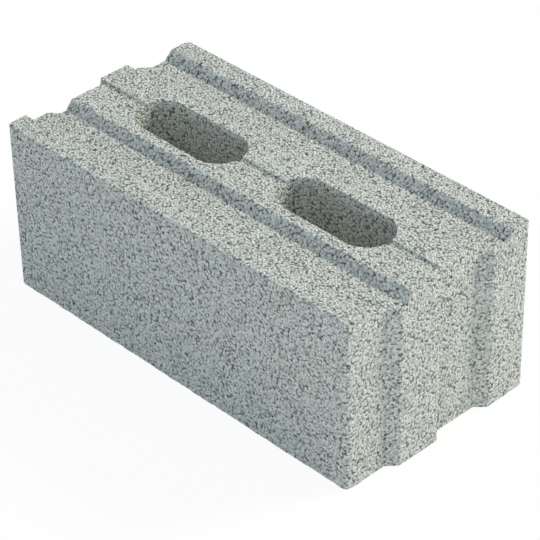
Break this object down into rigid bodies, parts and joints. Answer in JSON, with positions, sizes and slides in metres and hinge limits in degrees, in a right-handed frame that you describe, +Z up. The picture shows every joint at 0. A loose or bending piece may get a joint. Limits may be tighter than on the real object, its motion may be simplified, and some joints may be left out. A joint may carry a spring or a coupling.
{
  "type": "concrete block",
  "caption": "Cast concrete wall block with interlocking tongued ends, shallow channels and a score line along its top, and slot-shaped cores down through its middle.",
  "frame": {"origin": "under the middle of the block, on its bed face", "axes": "+X along the wall, +Y across the wall to the back face, +Z up to the channelled top face"},
  "size_m": [0.49, 0.24, 0.198],
  "materials": {
    "concrete": "rough granular cast concrete"
  },
  "bodies": {
    "root": {"concrete_block": "concrete"}
  },
  "joints": []
}
